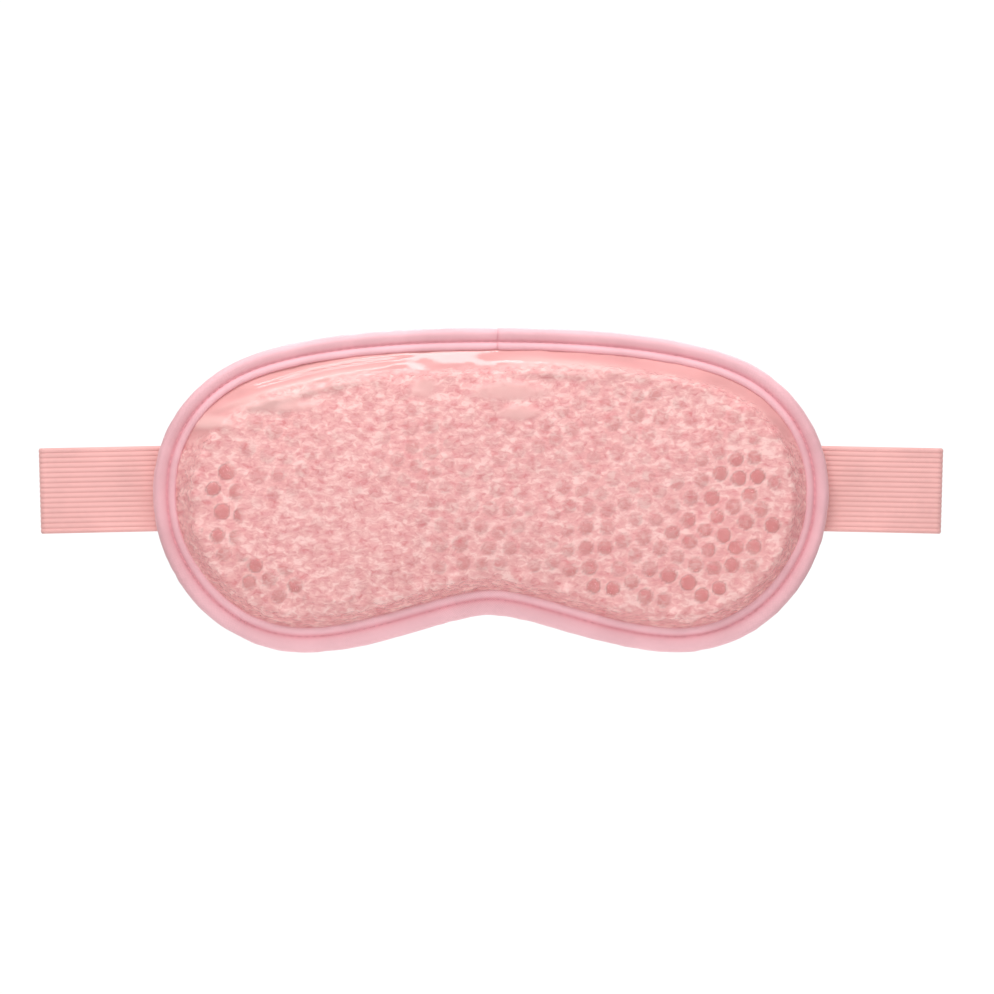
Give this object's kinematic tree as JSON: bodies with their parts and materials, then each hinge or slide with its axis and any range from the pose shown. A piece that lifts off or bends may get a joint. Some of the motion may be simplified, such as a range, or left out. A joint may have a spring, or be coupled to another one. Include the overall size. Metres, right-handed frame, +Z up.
{
  "type": "gel bead eye mask",
  "caption": "Bean-shaped clear film pouch of gel beads on a plush back, bound round its edge, with an elastic head strap closed behind by hook and loop.",
  "frame": {"origin": "middle of the backing panel's face side, at the middle of the strap's height", "axes": "+X across the face to the right as seen from the front, +Y from the mask's front towards the face and the strap, +Z up"},
  "size_m": [0.2688, 0.023, 0.0964],
  "materials": {
    "clear_film": "clear glossy pink-tinted film",
    "rear_film": "clear film against the plush back",
    "gel": "wet translucent pink water gel",
    "plush": "short soft pile",
    "binding_tape": "soft satin tape, stitched",
    "thread": "twisted polyester thread",
    "elastic": "ribbed woven elastic",
    "hook_tape": "woven tape with nylon hooks",
    "loop_tape": "brushed nylon loop pile"
  },
  "bodies": {
    "mask": {"front_film": "clear_film", "rear_film": "rear_film", "gel_beads": "gel", "backing_panel": "plush", "edge_binding": "binding_tape", "binding_needle_thread": "thread", "binding_bobbin_thread": "thread", "left_strap_anchor": "elastic", "right_strap_anchor": "elastic", "left_anchor_stitch": "thread", "right_anchor_stitch": "thread"},
    "left_strap_front": {"left_strap_front": "elastic"},
    "left_strap_back": {"left_strap_back": "elastic"},
    "left_strap_end": {"left_strap_end": "elastic"},
    "hook_tab": {"hook_tab": "elastic", "hook_patch": "hook_tape", "hook_patch_stitch": "thread"},
    "right_strap_front": {"right_strap_front": "elastic"},
    "right_strap_back": {"right_strap_back": "elastic"},
    "right_strap_end": {"right_strap_end": "elastic", "loop_patch": "loop_tape", "loop_patch_stitch": "thread"}
  },
  "joints": [
    {"name": "strap_loop", "type": "hinge", "parent": "mask", "child": "left_strap_front", "pos_m": [-0.0964, 0.003, 0], "axis": [0, 0, -1], "range_deg": [0, 75]},
    {"name": "left_fold", "type": "hinge", "parent": "left_strap_front", "child": "left_strap_back", "pos_m": [-0.13235, 0.00385, 0], "axis": [0, 0, 1], "range_deg": [0, 122]},
    {"name": "left_end_turn", "type": "hinge", "parent": "left_strap_back", "child": "left_strap_end", "pos_m": [-0.045, 0.0047, 0], "axis": [0, 0, -1], "range_deg": [0, 47]},
    {"name": "hook_tab_peel", "type": "hinge", "parent": "left_strap_end", "child": "hook_tab", "pos_m": [-0.03, 0.0104, 0], "axis": [0, 0, 1], "range_deg": [0, 150]},
    {"name": "right_seam", "type": "hinge", "parent": "mask", "child": "right_strap_front", "pos_m": [0.0964, 0.003, 0], "axis": [0, 0, 1], "range_deg": [0, 75]},
    {"name": "right_fold", "type": "hinge", "parent": "right_strap_front", "child": "right_strap_back", "pos_m": [0.13235, 0.00385, 0], "axis": [0, 0, -1], "range_deg": [0, 122]},
    {"name": "right_end_turn", "type": "hinge", "parent": "right_strap_back", "child": "right_strap_end", "pos_m": [0.045, 0.0047, 0], "axis": [0, 0, 1], "range_deg": [0, 47]}
  ],
  "couplings": [
    {"joint": "left_fold", "follows": "strap_loop", "ratio": 1.62},
    {"joint": "left_end_turn", "follows": "strap_loop", "ratio": 0.62},
    {"joint": "right_seam", "follows": "strap_loop", "ratio": 1},
    {"joint": "right_fold", "follows": "strap_loop", "ratio": 1.62},
    {"joint": "right_end_turn", "follows": "strap_loop", "ratio": 0.62}
  ]
}
